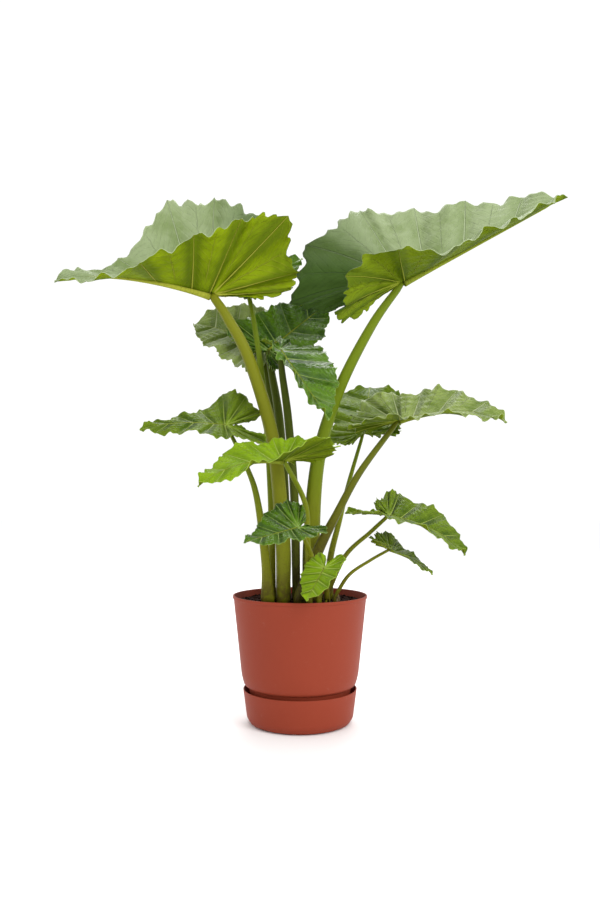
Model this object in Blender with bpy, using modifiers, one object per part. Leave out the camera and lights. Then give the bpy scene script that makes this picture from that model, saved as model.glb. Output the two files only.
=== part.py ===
"""Potted alocasia: a clip-on saucer, a round pot full of soil, and fourteen leaves.

Run with: blender --background --python part.py
Metres, +Z up. The saucer's flat base is at z = 0 on the pot's axis, and -Y is the front.
Every leaf is one petiole (the stalk) and one blade, and each pair comes from one line of LEAVES.
"""
import math

import bmesh
import bpy
import numpy as np
from mathutils import Vector

# ---- fits -------------------------------------------------------------------
GAP = 0.0003                # clearance between pieces that touch
ROUND_STEPS = 48            # facets round the pot, saucer and soil

# ---- saucer -----------------------------------------------------------------
SAUCER_RIM_RADIUS = 0.1240
SAUCER_TAPER = 0.0085       # how much narrower the wall is at its foot
SAUCER_TURN_IN = 0.0115     # how much narrower still the flat base is
SAUCER_FOOT_RADIUS = SAUCER_RIM_RADIUS - SAUCER_TAPER
SAUCER_BASE_RADIUS = SAUCER_FOOT_RADIUS - SAUCER_TURN_IN
SAUCER_HEIGHT = 0.0735
SAUCER_CORNER = 0.0110      # height of the rounded corner at the base
SAUCER_WALL = 0.0028
SAUCER_FLOOR = 0.0030

# ---- pot --------------------------------------------------------------------
POT_TOP = 0.2750
POT_WALL = 0.0030
POT_RIM_RADIUS = 0.1475
POT_RIM_BAND = 0.0060       # height of the plain band at the rim
POT_WALL_TAPER = 0.0200     # how much narrower the wall is at the shoulder than at the rim
POT_SHOULDER_RADIUS = POT_RIM_RADIUS - POT_WALL_TAPER
NECK_TO_SAUCER = 0.0102     # clearance all round, inside the saucer's rim
NECK_ABOVE_SAUCER = 0.0045
SHOULDER_RISE = 0.0260      # from the neck up to the shoulder
FOOT_TO_SAUCER = 0.0067     # clearance all round, inside the saucer's foot
POT_NECK_RADIUS = SAUCER_RIM_RADIUS - SAUCER_WALL - NECK_TO_SAUCER
POT_NECK_HEIGHT = SAUCER_HEIGHT + NECK_ABOVE_SAUCER
POT_SHOULDER_HEIGHT = POT_NECK_HEIGHT + SHOULDER_RISE
POT_FOOT_RADIUS = SAUCER_FOOT_RADIUS - SAUCER_WALL - FOOT_TO_SAUCER
POT_FLOOR_THICKNESS = 0.0040
POT_FOOT_RECESS = 0.0100    # how far the floor stands above the foot ring
DRAIN_COUNT = 6
DRAIN_RADIUS = 0.0055
DRAIN_RING_RADIUS = 0.0600
DRAIN_TURN = math.radians(11)

# ---- soil -------------------------------------------------------------------
SOIL_BELOW_RIM = 0.0130
SOIL_TOP = POT_TOP - SOIL_BELOW_RIM

# ---- leaf blade outline, in leaf lengths from the petiole -------------------
# (along the midrib, out from it, where on the midrib that vein starts)
OUTLINE = (
    (-0.10, 0.020, 0.00),
    (-0.25, 0.080, 0.00),
    (-0.40, 0.175, 0.00),
    (-0.46, 0.320, 0.00),
    (-0.36, 0.460, 0.00),
    (-0.12, 0.530, 0.00),
    (0.13, 0.510, 0.05),
    (0.38, 0.430, 0.20),
    (0.63, 0.320, 0.43),
    (0.86, 0.170, 0.70),
    (1.00, 0.000, 1.00),
)
LOBE_REACH = 0.46           # how far the lobes reach back, in leaf lengths
VEINS = 9                   # side veins on each half, each ending in a point
ROWS_PER_VEIN = 2
COLUMNS = 3                 # strips on each half, from the midrib to the margin
BLADE_THICKNESS = 0.0012
SCALLOP = 0.13              # how deep the margin dips between two points
CURVE_SAMPLES = 12

# ---- petioles ---------------------------------------------------------------
PETIOLE_SEGMENTS = 9
PETIOLE_RISE = 0.012        # straight part above the soil
PETIOLE_END_SHARE = 0.5     # the last of it narrows to this where it joins the blade
STUB_FOOT = (0.079, -0.012)
STUB_HEIGHT = 0.016
STUB_RADII = (0.0090, 0.0085, 0.0065)


class Leaf:
    """One leaf: where its petiole runs, and how its blade is held, folded and drooped."""

    def __init__(self, name, foot, path, joint, radii, length, heading, pitch, roll, **shape):
        self.name = name
        self.foot = foot            # (x, y) of the petiole on the soil
        self.path = path            # points the petiole passes through, heights above the soil
        self.joint = joint          # where the petiole meets the blade, height above the soil
        self.radii = radii          # petiole radius at the foot, half way and top
        self.length = length        # petiole joint to the tip of the blade
        self.heading = heading      # degrees, 0 is +X and 90 is +Y
        self.pitch = pitch          # degrees that the blade climbs
        self.roll = roll            # degrees that its left half is raised
        # Degrees that each half is raised and its share of the outline's width, sinus to tip.
        self.left = shape.get("left", (5, 5, 5, 5, 5))
        self.right = shape.get("right", (5, 5, 5, 5, 5))
        self.left_width = shape.get("left_width", (1, 1, 1, 1, 1))
        self.right_width = shape.get("right_width", (1, 1, 1, 1, 1))
        self.droop = shape.get("droop", 0)
        self.droop_power = shape.get("droop_power", 1.5)
        self.sweep = shape.get("sweep", 0)
        self.ruffle = shape.get("ruffle", 0.006)
        self.lobe_droop = shape.get("lobe_droop", (0, 0))
        self.lobe_size = shape.get("lobe_size", (1.0, 1.0))


LEAVES = (
    Leaf("upper_left", (-0.036, -0.035),
         ((-0.037, -0.042, 0.138), (-0.058, -0.056, 0.348), (-0.107, -0.080, 0.516), (-0.153, -0.098, 0.605)),
         (-0.187, -0.100, 0.656), (0.018, 0.014, 0.009), 0.33, 210, 8, -8, droop=25, droop_power=1.5,
         left=(40, 45, 55, 62, 42, 0, -45), right=(85, 80, 75, 72, 65, 35, 50),
         left_width=(1, 1, 0.95, 0.95, 1.35, 1.0, 0.95, 0.8, 0.7, 1),
         right_width=(1, 1, 1, 1.0, 1.3, 1.45, 1.45, 0.55, 0.6, 0.9), lobe_size=(1.15, 1.1)),
    Leaf("upper_right", (0.028, 0.010),
         ((0.026, 0.008, 0.132), (0.040, -0.010, 0.308), (0.084, -0.030, 0.458), (0.157, -0.045, 0.602)),
         (0.223, -0.050, 0.695), (0.022, 0.014, 0.008), 0.40, -5, 27, 15,
         left=(20, 30, 50, 62, 66, 54, 45, 43, 32, 25), right=(0, 10, 25, 45, 12, 8, 5),
         left_width=(1, 1, 1, 0.92, 1.12, 1.15, 1, 1.05, 1.1, 1.3),
         right_width=(1, 1, 0.8, 0.6, 0.7, 1, 1), lobe_droop=(20, 30), lobe_size=(1.1, 0.9)),
    Leaf("centre_back", (-0.030, 0.022),
         ((-0.034, 0.026, 0.220), (-0.047, 0.040, 0.401), (-0.066, 0.056, 0.516)),
         (-0.075, 0.063, 0.566), (0.011, 0.010, 0.007), 0.22, 35, 38, 50, left=(5, 5, 5, 5, 10, 10, 10),
         right=(5, 5, 5, 5, 10, 10, 10), right_width=(1, 1, 0.6, 0.6, 0.8, 1, 1), lobe_size=(0.5, 0.4)),
    Leaf("centre_drooping", (-0.008, 0.014),
         ((-0.012, -0.006, 0.221), (-0.026, -0.030, 0.398), (-0.039, -0.052, 0.497)),
         (-0.043, -0.066, 0.546), (0.010, 0.009, 0.006), 0.21, -40, -50, 0,
         left=(-20, -15, -10, 5, 20, 20, 10), right=(0, 0, 0, 10, 10, 10, 10),
         left_width=(1, 1, 1.2, 1.3, 1.25, 1.1, 1), right_width=(0.6, 0.6, 0.5, 0.4, 0.4, 0.5, 0.8),
         lobe_size=(0.65, 0.3)),
    Leaf("centre_left", (-0.044, 0.052),
         ((-0.048, 0.066, 0.220), (-0.064, 0.092, 0.418), (-0.084, 0.118, 0.543)),
         (-0.093, 0.125, 0.591), (0.009, 0.009, 0.006), 0.19, 168, 26, -38, droop=22,
         left=(0, 0, 0, 0, 0, 0, 0), right=(10, 10, 12, 12, 14, 20, 10),
         left_width=(1, 1, 1.2, 1.3, 1.3, 1.3, 1.5), right_width=(1, 1, 1.1, 1.2, 1.3, 1.8, 2.6),
         lobe_size=(0.6, 0.6)),
    Leaf("hidden_back", (-0.062, 0.002),
         ((-0.064, 0.002, 0.220), (-0.080, 0.006, 0.451), (-0.104, 0.030, 0.618)),
         (-0.125, 0.060, 0.723), (0.008, 0.007, 0.005), 0.165, 25, 28, 40, left=(10, 10, 10, 10, 10),
         right=(10, 10, 10, 10, 10), lobe_size=(0.6, 0.6)),
    Leaf("mid_left", (-0.069, -0.042),
         ((-0.074, -0.042, 0.091), (-0.092, -0.052, 0.221), (-0.114, -0.058, 0.290)),
         (-0.159, -0.060, 0.382), (0.013, 0.007, 0.004), 0.185, 195, 5, -26, droop=25,
         left=(0, 0, 0, 0, 0, -10, -10), right=(5, 30, 45, 35, 5, 0, 0),
         right_width=(1, 1, 0.7, 1.05, 0.8, 0.7, 0.8), left_width=(1, 1, 1, 0.9, 0.8, 0.8, 0.8)),
    Leaf("front_bright", (0.020, -0.084),
         ((0.016, -0.082, 0.138), (0.010, -0.102, 0.216)),
         (-0.032, -0.170, 0.300), (0.007, 0.006, 0.005), 0.188, 205, 3, -22, droop=46, droop_power=1.2,
         left=(40, 50, 52, 50, 25, 0, 0), right=(25, 35, 35, 20, 10, 0, 0),
         right_width=(1, 1, 0.9, 0.8, 0.9, 1.3, 1.5), left_width=(1, 1.1, 1.2, 0.9, 0.6, 0.8, 1),
         lobe_size=(1.1, 1), lobe_droop=(10, 0)),
    Leaf("mid_right", (0.002, -0.052),
         ((0.034, -0.052, 0.101), (0.078, -0.045, 0.188), (0.131, -0.035, 0.282)),
         (0.216, -0.020, 0.395), (0.016, 0.009, 0.006), 0.245, -8, 15, 20, droop=42,
         left=(20, 20, 20, 24, 22, 20, 25), right=(0, 20, 30, 25, 10, 5, 5),
         left_width=(1, 1, 0.8, 0.9, 0.9, 1.2, 1.6), right_width=(1, 1, 0.8, 0.7, 0.7, 0.8, 1)),
    Leaf("back_right", (0.066, 0.030),
         ((0.068, 0.032, 0.087), (0.090, 0.042, 0.176), (0.114, 0.066, 0.266)),
         (0.150, 0.115, 0.378), (0.009, 0.006, 0.004), 0.23, 80, 36, 5, left=(0, 0, 0, 0, 0),
         right=(10, 10, 10, 10, 10), left_width=(1, 1, 0.9, 0.8, 0.8, 1.6, 2.4),
         right_width=(1, 1, 0.9, 0.8, 0.9, 1.6, 2.4), lobe_droop=(10, 0), lobe_size=(0.6, 0.12)),
    Leaf("lower_dark", (0.040, -0.078),
         ((0.030, -0.090, 0.085), (0.012, -0.122, 0.135)),
         (-0.004, -0.180, 0.167), (0.006, 0.005, 0.004), 0.125, 212, -12, -15, left=(0, 0, 0, 0, 0),
         right=(20, 25, 25, 20, 15, 10, 5), right_width=(1, 1.2, 1.4, 1.4, 1.2, 1, 1),
         lobe_size=(0.8, 0.8), ruffle=0.004),
    Leaf("young_front", (0.058, -0.066),
         ((0.054, -0.095, 0.053),),
         (0.049, -0.150, 0.084), (0.006, 0.005, 0.004), 0.080, 225, -50, 0,
         left_width=(1, 1.1, 1.2, 1.3, 1.3, 1.5, 1.5), right_width=(1, 1.1, 1.2, 1.3, 1.3, 1.5, 1.5),
         ruffle=0.003),
    Leaf("lower_right", (0.058, -0.014),
         ((0.098, -0.030, 0.099), (0.151, -0.055, 0.152)),
         (0.188, -0.080, 0.189), (0.006, 0.0045, 0.004), 0.185, -15, -12, 30, droop=45,
         left=(8, 8, 5, 5, 5, 8, 8), right=(22, 22, 25, 30, 30, 25, 22),
         left_width=(0.6, 0.6, 0.7, 0.9, 0.95, 1, 1), lobe_size=(0.5, 1.0)),
    Leaf("small_right", (0.074, -0.045),
         ((0.105, -0.050, 0.060), (0.150, -0.058, 0.092)),
         (0.192, -0.060, 0.116), (0.0045, 0.0035, 0.003), 0.105, -15, -20, 8, droop=25,
         left=(5, 30, 30, 20, 5, 0, 0), right=(0, 30, 20, 10, 0), ruffle=0.003),
)

# ---- materials: colour, roughness -------------------------------------------
MATERIALS = {
    "pot_plastic": ((0.36, 0.075, 0.040), 0.55),
    "saucer_plastic": ((0.36, 0.075, 0.040), 0.55),
    "potting_soil": ((0.035, 0.018, 0.012), 0.95),
    "blade_green": ((0.10, 0.22, 0.03), 0.35),
    "petiole_green": ((0.20, 0.24, 0.03), 0.45),
    "old_sheath": ((0.16, 0.12, 0.04), 0.80),
}


def clear_scene():
    for found in list(bpy.data.objects):
        bpy.data.objects.remove(found, do_unlink=True)


def new_collection(name):
    made = bpy.data.collections.new(name)
    bpy.context.scene.collection.children.link(made)
    return made


def principled(name):
    colour, roughness = MATERIALS[name]
    made = bpy.data.materials.new(name)
    made.use_nodes = True
    shader = made.node_tree.nodes["Principled BSDF"]
    shader.inputs["Base Color"].default_value = (*colour, 1.0)
    shader.inputs["Roughness"].default_value = roughness
    shader.inputs["Metallic"].default_value = 0.0
    return made


def add_object(name, data, collection, material=None):
    made = bpy.data.objects.new(name, data)
    collection.objects.link(made)
    if material is not None:
        data.materials.clear()
        data.materials.append(material)
    return made


def bake_modifiers(target):
    """Replace the object's mesh by the result of its modifiers."""
    depsgraph = bpy.context.evaluated_depsgraph_get()
    mesh = bpy.data.meshes.new_from_object(target.evaluated_get(depsgraph))
    target.modifiers.clear()
    target.data = mesh
    mesh.name = target.name


def face_outward(target, merge=0.00001):
    shape = bmesh.new()
    shape.from_mesh(target.data)
    bmesh.ops.remove_doubles(shape, verts=shape.verts, dist=merge)
    bmesh.ops.recalc_face_normals(shape, faces=shape.faces)
    shape.to_mesh(target.data)
    shape.free()


def turned(name, profile, collection, material):
    """A solid of revolution from a closed profile of (radius, height), top outside first."""
    mesh = bpy.data.meshes.new(name)
    count = len(profile)
    closes = profile[0][0] > 0 and profile[-1][0] > 0
    edges = [(i, (i + 1) % count) for i in range(count if closes else count - 1)]
    mesh.from_pydata([(radius, 0.0, height) for radius, height in profile], edges, [])
    made = add_object(name, mesh, collection, material)
    screw = made.modifiers.new("Turn", "SCREW")
    screw.steps = ROUND_STEPS
    screw.render_steps = ROUND_STEPS
    screw.use_merge_vertices = True
    screw.merge_threshold = 0.0001
    bake_modifiers(made)
    face_outward(made)
    return made


# ---- pot, saucer and soil ---------------------------------------------------
def pot_outer(height):
    """Outside radius of the pot wall above the shoulder."""
    share = (height - POT_SHOULDER_HEIGHT) / (POT_TOP - POT_SHOULDER_HEIGHT)
    return POT_SHOULDER_RADIUS + share * (POT_RIM_RADIUS - POT_SHOULDER_RADIUS)


def pot_side():
    """Outside of the pot from the rim down to the foot, as (radius, height)."""
    foot = SAUCER_FLOOR + GAP
    bulge = POT_SHOULDER_RADIUS - POT_NECK_RADIUS
    drop = POT_SHOULDER_HEIGHT - POT_NECK_HEIGHT
    side = [(POT_RIM_RADIUS, POT_TOP - 0.0015), (POT_RIM_RADIUS, POT_TOP - POT_RIM_BAND)]
    side.append((pot_outer(POT_TOP - POT_RIM_BAND) - 0.0012, POT_TOP - POT_RIM_BAND - 0.0010))
    side.append((POT_SHOULDER_RADIUS, POT_SHOULDER_HEIGHT))
    for turn in (30, 60, 90):
        angle = math.radians(turn)
        radius = POT_NECK_RADIUS + bulge * math.cos(angle) ** 1.5
        side.append((radius, POT_SHOULDER_HEIGHT - drop * math.sin(angle)))
    side.append((POT_FOOT_RADIUS, foot))
    return side


def pot_inside():
    """Inside of the pot from the rim down to the floor, as (radius, height)."""
    floor = SAUCER_FLOOR + GAP + POT_FOOT_RECESS + POT_FLOOR_THICKNESS
    side = [(POT_RIM_RADIUS - POT_WALL, POT_TOP - 0.0015)]
    for radius, height in pot_side()[2:-1]:
        side.append((radius - POT_WALL, height))
    neck_run = POT_NECK_HEIGHT - SAUCER_FLOOR - GAP
    share = (floor - SAUCER_FLOOR - GAP) / neck_run
    radius = POT_FOOT_RADIUS + share * (POT_NECK_RADIUS - POT_FOOT_RADIUS) - POT_WALL
    side.append((radius, floor))
    return side


def build_pot(collection, cutters, material):
    foot = SAUCER_FLOOR + GAP
    under = foot + POT_FOOT_RECESS
    inside = pot_inside()
    rim_middle = POT_RIM_RADIUS - POT_WALL / 2
    profile = [(rim_middle, POT_TOP)] + pot_side()
    profile += [(POT_FOOT_RADIUS - 0.004, foot), (POT_FOOT_RADIUS - 0.006, under), (0.0, under)]
    wall = closed_profile(profile, inside)
    pot = turned("pot", wall, collection, material)
    for number in range(DRAIN_COUNT):
        angle = DRAIN_TURN + math.tau * number / DRAIN_COUNT
        cutter = cylinder("drain_cutter_%d" % number, DRAIN_RADIUS, 0.03, cutters)
        cutter.location = (DRAIN_RING_RADIUS * math.cos(angle), DRAIN_RING_RADIUS * math.sin(angle), under)
        cut(pot, cutter)
    face_outward(pot)
    return pot


def closed_profile(outside, inside):
    """Outside profile down to the axis, then the inside back up from the axis."""
    floor = inside[-1][1]
    return outside + [(0.0, floor)] + list(reversed(inside))


def cylinder(name, radius, depth, collection):
    mesh = bpy.data.meshes.new(name)
    shape = bmesh.new()
    bmesh.ops.create_cone(shape, cap_ends=True, segments=12, radius1=radius, radius2=radius, depth=depth)
    shape.to_mesh(mesh)
    shape.free()
    made = add_object(name, mesh, collection)
    made.hide_render = True
    made.display_type = "WIRE"
    return made


def cut(target, cutter):
    bpy.context.view_layer.update()
    boolean = target.modifiers.new("Cut", "BOOLEAN")
    boolean.operation = "DIFFERENCE"
    boolean.solver = "EXACT"
    boolean.object = cutter
    bake_modifiers(target)


def build_saucer(collection, material):
    outside = [
        (SAUCER_RIM_RADIUS - SAUCER_WALL / 2, SAUCER_HEIGHT),
        (SAUCER_RIM_RADIUS, SAUCER_HEIGHT - 0.0014),
        (SAUCER_FOOT_RADIUS, SAUCER_CORNER),
        (SAUCER_FOOT_RADIUS - 0.0035, SAUCER_CORNER * 0.35),
        (SAUCER_BASE_RADIUS, 0.0),
        (0.0, 0.0),
    ]
    inside = [
        (SAUCER_RIM_RADIUS - SAUCER_WALL, SAUCER_HEIGHT - 0.0014),
        (SAUCER_FOOT_RADIUS - SAUCER_WALL, SAUCER_CORNER),
        (SAUCER_FOOT_RADIUS - SAUCER_WALL - 0.0030, SAUCER_FLOOR),
    ]
    return turned("saucer", closed_profile(outside, inside), collection, material)


def build_soil(collection, material):
    wall = pot_inside()
    heights = [height for radius, height in reversed(wall)]
    radii = [radius for radius, height in reversed(wall)]
    profile = [(0.0, SOIL_TOP), (np.interp(SOIL_TOP, heights, radii) - GAP * 1.5, SOIL_TOP)]
    for radius, height in wall[2:-1]:
        profile.append((radius - GAP * 1.5, height))
    radius, floor = wall[-1]
    profile += [(radius - GAP * 1.5, floor + GAP), (0.0, floor + GAP)]
    return turned("soil", profile, collection, material)


# ---- leaves -----------------------------------------------------------------
def smooth_path(points, share):
    """Catmull-Rom curve through the points, at each share of its way (0 to 1)."""
    points = np.array(points, dtype=float)
    ends = np.concatenate([[2 * points[0] - points[1]], points, [2 * points[-1] - points[-2]]])
    place = np.clip(np.asarray(share, dtype=float), 0, 1) * (len(points) - 1)
    index = np.minimum(place.astype(int), len(points) - 2)
    t = (place - index).reshape((-1,) + (1,) * (points.ndim - 1))
    a, b, c, d = ends[index], ends[index + 1], ends[index + 2], ends[index + 3]
    curved = (2 * a - 5 * b + 4 * c - d) * t ** 2 + (3 * b - a - 3 * c + d) * t ** 3
    return 0.5 * (2 * b + (c - a) * t + curved)


def by_side(pair, left):
    return np.where(left, pair[0], pair[1])


def blade_rotation(leaf):
    heading, pitch, roll = (math.radians(angle) for angle in (leaf.heading, leaf.pitch, leaf.roll))
    about_x = np.array([[1, 0, 0], [0, math.cos(roll), -math.sin(roll)], [0, math.sin(roll), math.cos(roll)]])
    about_y = np.array([[math.cos(pitch), 0, -math.sin(pitch)], [0, 1, 0],
                        [math.sin(pitch), 0, math.cos(pitch)]])
    about_z = np.array([[math.cos(heading), -math.sin(heading), 0], [math.sin(heading), math.cos(heading), 0],
                        [0, 0, 1]])
    return about_z @ about_y @ about_x


def joint_of(leaf):
    return np.array([leaf.joint[0], leaf.joint[1], SOIL_TOP + leaf.joint[2]])


def blade_surface(leaf, across, row):
    """Points of the blade: across is -1 (right margin) to 1, row is 0 (sinus) to 1 (tip)."""
    left = across >= 0
    out = np.abs(across)
    margin = smooth_path(OUTLINE, row)
    vein = row * VEINS
    between = np.sin(math.pi * (vein - np.floor(vein)))
    uneven = np.sin(vein * 2.3 + leaf.heading + by_side((0, 2), left))
    reach = 1 - (SCALLOP * between ** 0.8 - 0.05 * uneven) * out ** 3
    root = np.maximum(margin[:, 2], 0)
    along = root + out * (margin[:, 0] - root) * reach
    width = by_side((smooth_path(leaf.left_width, row), smooth_path(leaf.right_width, row)), left)
    side = out * margin[:, 1] * width * reach
    fold = np.radians(by_side((smooth_path(leaf.left, row), smooth_path(leaf.right, row)), left))
    wave = np.sin(math.pi * vein + 0.8 * uneven) * leaf.ruffle / leaf.length * out ** 2.2
    flat = by_side((1, -1), left) * (side * np.cos(fold) - wave * np.sin(fold))
    lift = side * np.sin(fold) + wave * np.cos(fold)

    along = np.where(along < 0, along * by_side(leaf.lobe_size, left), along)
    samples = along[:, None] * (np.arange(CURVE_SAMPLES) + 0.5) / CURVE_SAMPLES
    lobe_droop = np.radians(by_side(leaf.lobe_droop, left))[:, None] / LOBE_REACH
    droop, sweep = math.radians(leaf.droop), math.radians(leaf.sweep)

    def slope(distance):
        return np.where(distance > 0, -droop * np.abs(distance) ** leaf.droop_power, -lobe_droop * distance)

    def turn(distance):
        return sweep * np.maximum(distance, 0)

    forward = along * (np.cos(slope(samples)) * np.cos(turn(samples))).mean(axis=1)
    aside = along * (np.cos(slope(samples)) * np.sin(turn(samples))).mean(axis=1)
    up = along * np.sin(slope(samples)).mean(axis=1)
    tilt, turned_by = slope(along[:, None])[:, 0], turn(along)
    points = np.stack([forward - flat * np.sin(turned_by) - lift * np.sin(tilt) * np.cos(turned_by),
                       aside + flat * np.cos(turned_by) - lift * np.sin(tilt) * np.sin(turned_by),
                       up + lift * np.cos(tilt)], axis=1)
    return points * leaf.length @ blade_rotation(leaf).T + joint_of(leaf)


def build_blade(leaf, collection, material):
    name = "blade_" + leaf.name
    mesh = bpy.data.meshes.new(name)
    shape = bmesh.new()
    bmesh.ops.create_grid(shape, x_segments=2 * COLUMNS, y_segments=VEINS * ROWS_PER_VEIN, size=1.0)
    across = np.array([vertex.co.x for vertex in shape.verts])
    row = np.array([(vertex.co.y + 1) / 2 for vertex in shape.verts])
    for vertex, point in zip(shape.verts, blade_surface(leaf, across, row)):
        vertex.co = point
    bmesh.ops.remove_doubles(shape, verts=shape.verts, dist=0.0002)
    bmesh.ops.triangulate(shape, faces=shape.faces)
    shape.to_mesh(mesh)
    shape.free()
    made = add_object(name, mesh, collection, material)
    thick = made.modifiers.new("Thickness", "SOLIDIFY")
    thick.thickness = BLADE_THICKNESS
    thick.offset = 0.0
    bake_modifiers(made)
    face_outward(made)
    return made


def petiole_points(leaf):
    """Centre line from the soil to just under the blade, and the radius at each point."""
    foot = Vector((*leaf.foot, SOIL_TOP + GAP))
    start = foot + Vector((0, 0, PETIOLE_RISE))
    path = [Vector((x, y, SOIL_TOP + z)) for x, y, z in leaf.path]
    normal = Vector(blade_rotation(leaf) @ np.array([0.0, 0.0, 1.0]))
    joint = Vector(joint_of(leaf))
    aim = (joint - path[-1]).normalized()
    top_radius = leaf.radii[2] * PETIOLE_END_SHARE
    tilt = math.sqrt(max(0.0, 1 - aim.dot(normal) ** 2))
    below = BLADE_THICKNESS / 2 + GAP + top_radius * tilt
    # The end stops short along the petiole, so that its rim clears the blade.
    end = joint - aim * (below / max(0.35, abs(aim.dot(normal))))
    route = [start, *path, end]
    share = np.linspace(0, 1, PETIOLE_SEGMENTS)
    points = [tuple(foot)] + [tuple(point) for point in smooth_path(route, share)]
    radius = np.interp(share, (0, 0.5, 1), leaf.radii)
    radius[-1] *= PETIOLE_END_SHARE
    return points, [leaf.radii[0], *radius]


def build_tube(name, points, radii, collection, material):
    curve = bpy.data.curves.new(name, "CURVE")
    curve.dimensions = "3D"
    curve.bevel_depth = 1.0
    curve.bevel_resolution = 2
    curve.use_fill_caps = True
    spline = curve.splines.new("POLY")
    spline.points.add(len(points) - 1)
    for knot, point, radius in zip(spline.points, points, radii):
        knot.co = (*point, 1.0)
        knot.radius = radius
    tube = add_object(name + "_curve", curve, collection)
    depsgraph = bpy.context.evaluated_depsgraph_get()
    mesh = bpy.data.meshes.new_from_object(tube.evaluated_get(depsgraph))
    bpy.data.objects.remove(tube, do_unlink=True)
    mesh.name = name
    made = add_object(name, mesh, collection, material)
    face_outward(made, merge=0.00005)
    return made


def build_stub(collection, material):
    """The dried end of a leaf cut away long ago."""
    points = [(*STUB_FOOT, SOIL_TOP + GAP + STUB_HEIGHT * share) for share in (0, 0.5, 1)]
    build_tube("old_stub", points, STUB_RADII, collection, material)


def build_petiole(leaf, collection, material):
    points, radii = petiole_points(leaf)
    return build_tube("petiole_" + leaf.name, points, radii, collection, material)


def main():
    clear_scene()
    collection = new_collection("potted_alocasia")
    cutters = new_collection("cutters")
    paint = {name: principled(name) for name in MATERIALS}
    build_saucer(collection, paint["saucer_plastic"])
    build_pot(collection, cutters, paint["pot_plastic"])
    build_soil(collection, paint["potting_soil"])
    build_stub(collection, paint["old_sheath"])
    for leaf in LEAVES:
        build_petiole(leaf, collection, paint["petiole_green"])
        build_blade(leaf, collection, paint["blade_green"])


main()
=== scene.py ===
"""Looks for the potted alocasia: leaves with veins, stalks, turned plastic pot and saucer, crumbly soil."""

import math
import random

import bmesh
import bpy
import numpy as np
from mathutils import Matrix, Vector, noise


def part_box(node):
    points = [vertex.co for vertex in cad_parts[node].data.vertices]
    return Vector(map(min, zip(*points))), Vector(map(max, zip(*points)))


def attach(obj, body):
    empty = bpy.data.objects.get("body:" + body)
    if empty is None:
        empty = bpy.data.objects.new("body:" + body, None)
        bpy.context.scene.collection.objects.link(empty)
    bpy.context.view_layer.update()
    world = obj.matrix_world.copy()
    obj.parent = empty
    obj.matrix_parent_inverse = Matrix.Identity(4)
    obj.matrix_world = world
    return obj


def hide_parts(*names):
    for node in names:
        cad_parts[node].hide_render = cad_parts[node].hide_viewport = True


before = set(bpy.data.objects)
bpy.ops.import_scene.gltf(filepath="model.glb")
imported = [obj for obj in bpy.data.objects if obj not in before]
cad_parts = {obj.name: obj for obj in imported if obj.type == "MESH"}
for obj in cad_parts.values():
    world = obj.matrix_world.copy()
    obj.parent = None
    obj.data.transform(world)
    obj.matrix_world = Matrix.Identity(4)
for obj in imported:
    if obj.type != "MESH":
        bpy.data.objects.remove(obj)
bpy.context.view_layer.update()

# ---- sizes taken from the frame ---------------------------------------------
_, SOIL_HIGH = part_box("soil")
POT_LOW, POT_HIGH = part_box("pot")
_, SAUCER_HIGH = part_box("saucer")
STUB_LOW, STUB_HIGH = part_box("old_stub")
SOIL_TOP = SOIL_HIGH.z
POT_TOP = POT_HIGH.z
RIM_RADIUS = POT_HIGH.x
SAUCER_RADIUS = SAUCER_HIGH.x

# ---- leaf outline and veins, in leaf lengths from the petiole ---------------
# (along the midrib, out from it, where on the midrib that vein starts)
OUTLINE = (
    (-0.10, 0.020, 0.00),
    (-0.25, 0.080, 0.00),
    (-0.40, 0.175, 0.00),
    (-0.46, 0.320, 0.00),
    (-0.36, 0.460, 0.00),
    (-0.12, 0.530, 0.00),
    (0.13, 0.510, 0.05),
    (0.38, 0.430, 0.20),
    (0.63, 0.320, 0.43),
    (0.86, 0.170, 0.70),
    (1.00, 0.000, 1.00),
)
LOBE_REACH = 0.46
VEINS = 9
BLADE_THICKNESS = 0.0012
SCALLOP = 0.13
CURVE_SAMPLES = 12
BLADE_COLUMNS = 40
BLADE_ROWS = 18 * VEINS
RIB_SIDES = 12
RIB_ROWS = 40
RIB_START = 0.5             # row where the midrib begins, at the petiole
RIB_SPAN = 0.47             # rows that it runs on for, nearly to the tip
RIB_SHARE = 0.80            # its radius as a share of the petiole's at the top
PETIOLE_RISE = 0.012
PETIOLE_ROWS = 64
PETIOLE_COLUMNS = 24
PLEAT = 0.0060
CRINKLE = 0.0055
FULL_GROWN = 0.3            # length from which a blade has its full relief
SHADED_LOBE = (0.030, 0.075, 0.003)

# ---- pot, saucer and soil ---------------------------------------------------
NECK_HEIGHT = 0.0780
SHOULDER_HEIGHT = 0.1040
POT_WALL = 0.0030
RIM_BAND = 0.0060
SAUCER_WALL = 0.0028
SAUCER_FOOT_HEIGHT = 0.0110
CRUMBS = 520
CRUMB_SIZES = (0.0012, 0.0016, 0.0022, 0.0030)


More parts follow.
